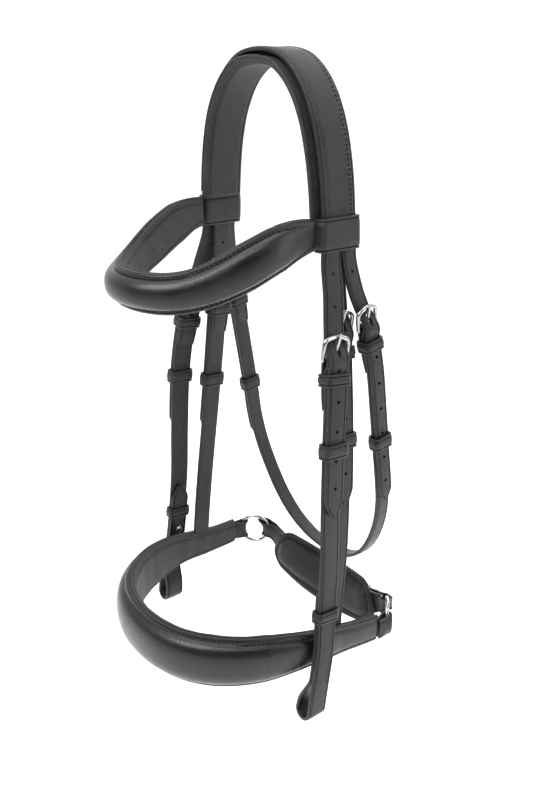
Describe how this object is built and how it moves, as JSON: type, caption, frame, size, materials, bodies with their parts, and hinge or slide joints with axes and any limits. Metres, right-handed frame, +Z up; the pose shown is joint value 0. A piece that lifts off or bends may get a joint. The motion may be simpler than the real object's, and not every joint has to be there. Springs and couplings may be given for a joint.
{
  "type": "snaffle bridle",
  "caption": "Leather snaffle bridle: padded headpiece over the poll, shaped browband, buckled cheekpieces with bit loops, throatlash, padded crank noseband with a chin pad.",
  "frame": {"origin": "middle of the underside of the headpiece's padding, where the bridle rests on the horse's poll", "axes": "+Z up, -Y towards the horse's forehead and nose, +X towards the horse's near (left) side"},
  "size_m": [0.22, 0.2202, 0.4861],
  "materials": {
    "strap_leather": "satin black bridle leather",
    "roll_leather": "smooth polished black leather over padding",
    "lining_leather": "soft matt black lining leather",
    "pad_leather": "soft matt black leather over foam",
    "steel": "polished stainless steel"
  },
  "bodies": {
    "headpiece": {"headpiece": "strap_leather", "headpiece_padding": "lining_leather", "sliphead": "strap_leather", "browband_strap": "strap_leather", "browband_roll": "roll_leather", "browband_lining": "lining_leather", "browband_loop_near": "strap_leather", "browband_loop_off": "strap_leather"},
    "cheek_near": {"cheek_point_near": "strap_leather", "cheekpiece_near": "strap_leather", "cheek_buckle_near": "steel", "cheek_keeper_near": "strap_leather", "billet_keeper_near": "strap_leather", "hook_stud_near": "steel"},
    "cheek_off": {"cheek_point_off": "strap_leather", "cheekpiece_off": "strap_leather", "cheek_buckle_off": "steel", "cheek_keeper_off": "strap_leather", "billet_keeper_off": "strap_leather", "hook_stud_off": "steel"},
    "throatlash_strap": {"throat_point_near": "strap_leather", "throat_point_off": "strap_leather", "throat_buckle_near": "steel", "throat_buckle_off": "steel", "throat_keeper_near": "strap_leather", "throat_keeper_off": "strap_leather", "throatlash": "strap_leather"},
    "noseband": {"nose_point_near": "strap_leather", "nose_point_off": "strap_leather", "nose_hanger_near": "strap_leather", "nose_hanger_off": "strap_leather", "nose_buckle_near": "steel", "nose_buckle_off": "steel", "nose_keeper_near": "strap_leather", "nose_keeper_off": "strap_leather", "ring_tab_near": "strap_leather", "ring_tab_off": "strap_leather", "noseband_strap": "strap_leather", "noseband_roll": "roll_leather", "noseband_lining": "lining_leather"},
    "chin": {"chin_strap": "strap_leather", "chin_pad": "pad_leather", "crank_buckle": "steel", "crank_keeper": "strap_leather"},
    "cheek_tongue_near": {"cheek_tongue_near": "steel"},
    "cheek_runner_near": {"cheek_runner_near": "strap_leather"},
    "throat_tongue_near": {"throat_tongue_near": "steel"},
    "throat_runner_near": {"throat_runner_near": "strap_leather"},
    "nose_tongue_near": {"nose_tongue_near": "steel"},
    "nose_runner_near": {"nose_runner_near": "strap_leather"},
    "ring_near": {"ring_near": "steel"},
    "cheek_tongue_off": {"cheek_tongue_off": "steel"},
    "cheek_runner_off": {"cheek_runner_off": "strap_leather"},
    "throat_tongue_off": {"throat_tongue_off": "steel"},
    "throat_runner_off": {"throat_runner_off": "strap_leather"},
    "nose_tongue_off": {"nose_tongue_off": "steel"},
    "nose_runner_off": {"nose_runner_off": "strap_leather"},
    "ring_off": {"ring_off": "steel"},
    "crank_tongue": {"crank_tongue": "steel"}
  },
  "joints": [
    {"name": "cheek_swing_near", "type": "hinge", "parent": "headpiece", "child": "cheek_near", "pos_m": [0.0712, -0.00575, -0.1223], "axis": [0, -1, 0], "range_deg": [0, 25]},
    {"name": "cheek_swing_off", "type": "hinge", "parent": "headpiece", "child": "cheek_off", "pos_m": [-0.0712, -0.00575, -0.1223], "axis": [0, 1, 0], "range_deg": [0, 25]},
    {"name": "throatlash_swing", "type": "hinge", "parent": "headpiece", "child": "throatlash_strap", "pos_m": [0, 0.0163, -0.1223], "axis": [1, 0, 0], "range_deg": [0, 20]},
    {"name": "noseband_swing", "type": "hinge", "parent": "headpiece", "child": "noseband", "pos_m": [0, -0.0068, -0.1223], "axis": [-1, 0, 0], "range_deg": [0, 6]},
    {"name": "cheek_tongue_turn_near", "type": "hinge", "parent": "cheek_near", "child": "cheek_tongue_near", "pos_m": [0.08951, -0.01737, -0.18936], "axis": [0.03, 0.9905, -0.1343], "range_deg": [0, 12]},
    {"name": "cheek_runner_slide_near", "type": "slide", "parent": "cheek_near", "child": "cheek_runner_near", "axis": [-0.0646, 0.0593, 0.9961], "range_m": [-0.006, 0.006]},
    {"name": "throat_tongue_turn_near", "type": "hinge", "parent": "throatlash_strap", "child": "throat_tongue_near", "pos_m": [0.08033, 0.02224, -0.17515], "axis": [-0.0224, 0.9709, 0.2386], "range_deg": [0, 12]},
    {"name": "throat_runner_slide_near", "type": "slide", "parent": "throatlash_strap", "child": "throat_runner_near", "axis": [0.0154, -0.1623, 0.9866], "range_m": [-0.006, 0.006]},
    {"name": "nose_tongue_turn_near", "type": "hinge", "parent": "noseband", "child": "nose_tongue_near", "pos_m": [0.07373, 0.00174, -0.1782], "axis": [0.0024, 0.9998, -0.0195], "range_deg": [0, 12]},
    {"name": "nose_runner_slide_near", "type": "slide", "parent": "noseband", "child": "nose_runner_near", "axis": [-0.1021, 0.0471, 0.9937], "range_m": [-0.006, 0.006]},
    {"name": "ring_turn_near", "type": "hinge", "parent": "noseband", "child": "ring_near", "pos_m": [0.09025, 0.05055, -0.427], "axis": [-0.7071, -0.7071, 0], "continuous": true},
    {"name": "cheek_tongue_turn_off", "type": "hinge", "parent": "cheek_off", "child": "cheek_tongue_off", "pos_m": [-0.08951, -0.01737, -0.18936], "axis": [0.03, -0.9905, 0.1343], "range_deg": [0, 12]},
    {"name": "cheek_runner_slide_off", "type": "slide", "parent": "cheek_off", "child": "cheek_runner_off", "axis": [0.0646, 0.0593, 0.9961], "range_m": [-0.006, 0.006]},
    {"name": "throat_tongue_turn_off", "type": "hinge", "parent": "throatlash_strap", "child": "throat_tongue_off", "pos_m": [-0.08033, 0.02224, -0.17515], "axis": [-0.0224, -0.9709, -0.2386], "range_deg": [0, 12]},
    {"name": "throat_runner_slide_off", "type": "slide", "parent": "throatlash_strap", "child": "throat_runner_off", "axis": [-0.0154, -0.1623, 0.9866], "range_m": [-0.006, 0.006]},
    {"name": "nose_tongue_turn_off", "type": "hinge", "parent": "noseband", "child": "nose_tongue_off", "pos_m": [-0.07373, 0.00174, -0.1782], "axis": [0.0024, -0.9998, 0.0195], "range_deg": [0, 12]},
    {"name": "nose_runner_slide_off", "type": "slide", "parent": "noseband", "child": "nose_runner_off", "axis": [0.1021, 0.0471, 0.9937], "range_m": [-0.006, 0.006]},
    {"name": "ring_turn_off", "type": "hinge", "parent": "noseband", "child": "ring_off", "pos_m": [-0.09025, 0.05055, -0.427], "axis": [-0.7071, 0.7071, 0], "continuous": true},
    {"name": "chin_swing", "type": "hinge", "parent": "noseband", "child": "chin", "pos_m": [0, 0.06009, -0.427], "axis": [1, 0, 0], "range_deg": [-8, 8]},
    {"name": "crank_tongue_turn", "type": "hinge", "parent": "chin", "child": "crank_tongue", "pos_m": [0.03062, 0.06995, -0.4446], "axis": [-0.0838, 0.4431, 0.8925], "range_deg": [0, 12]}
  ]
}
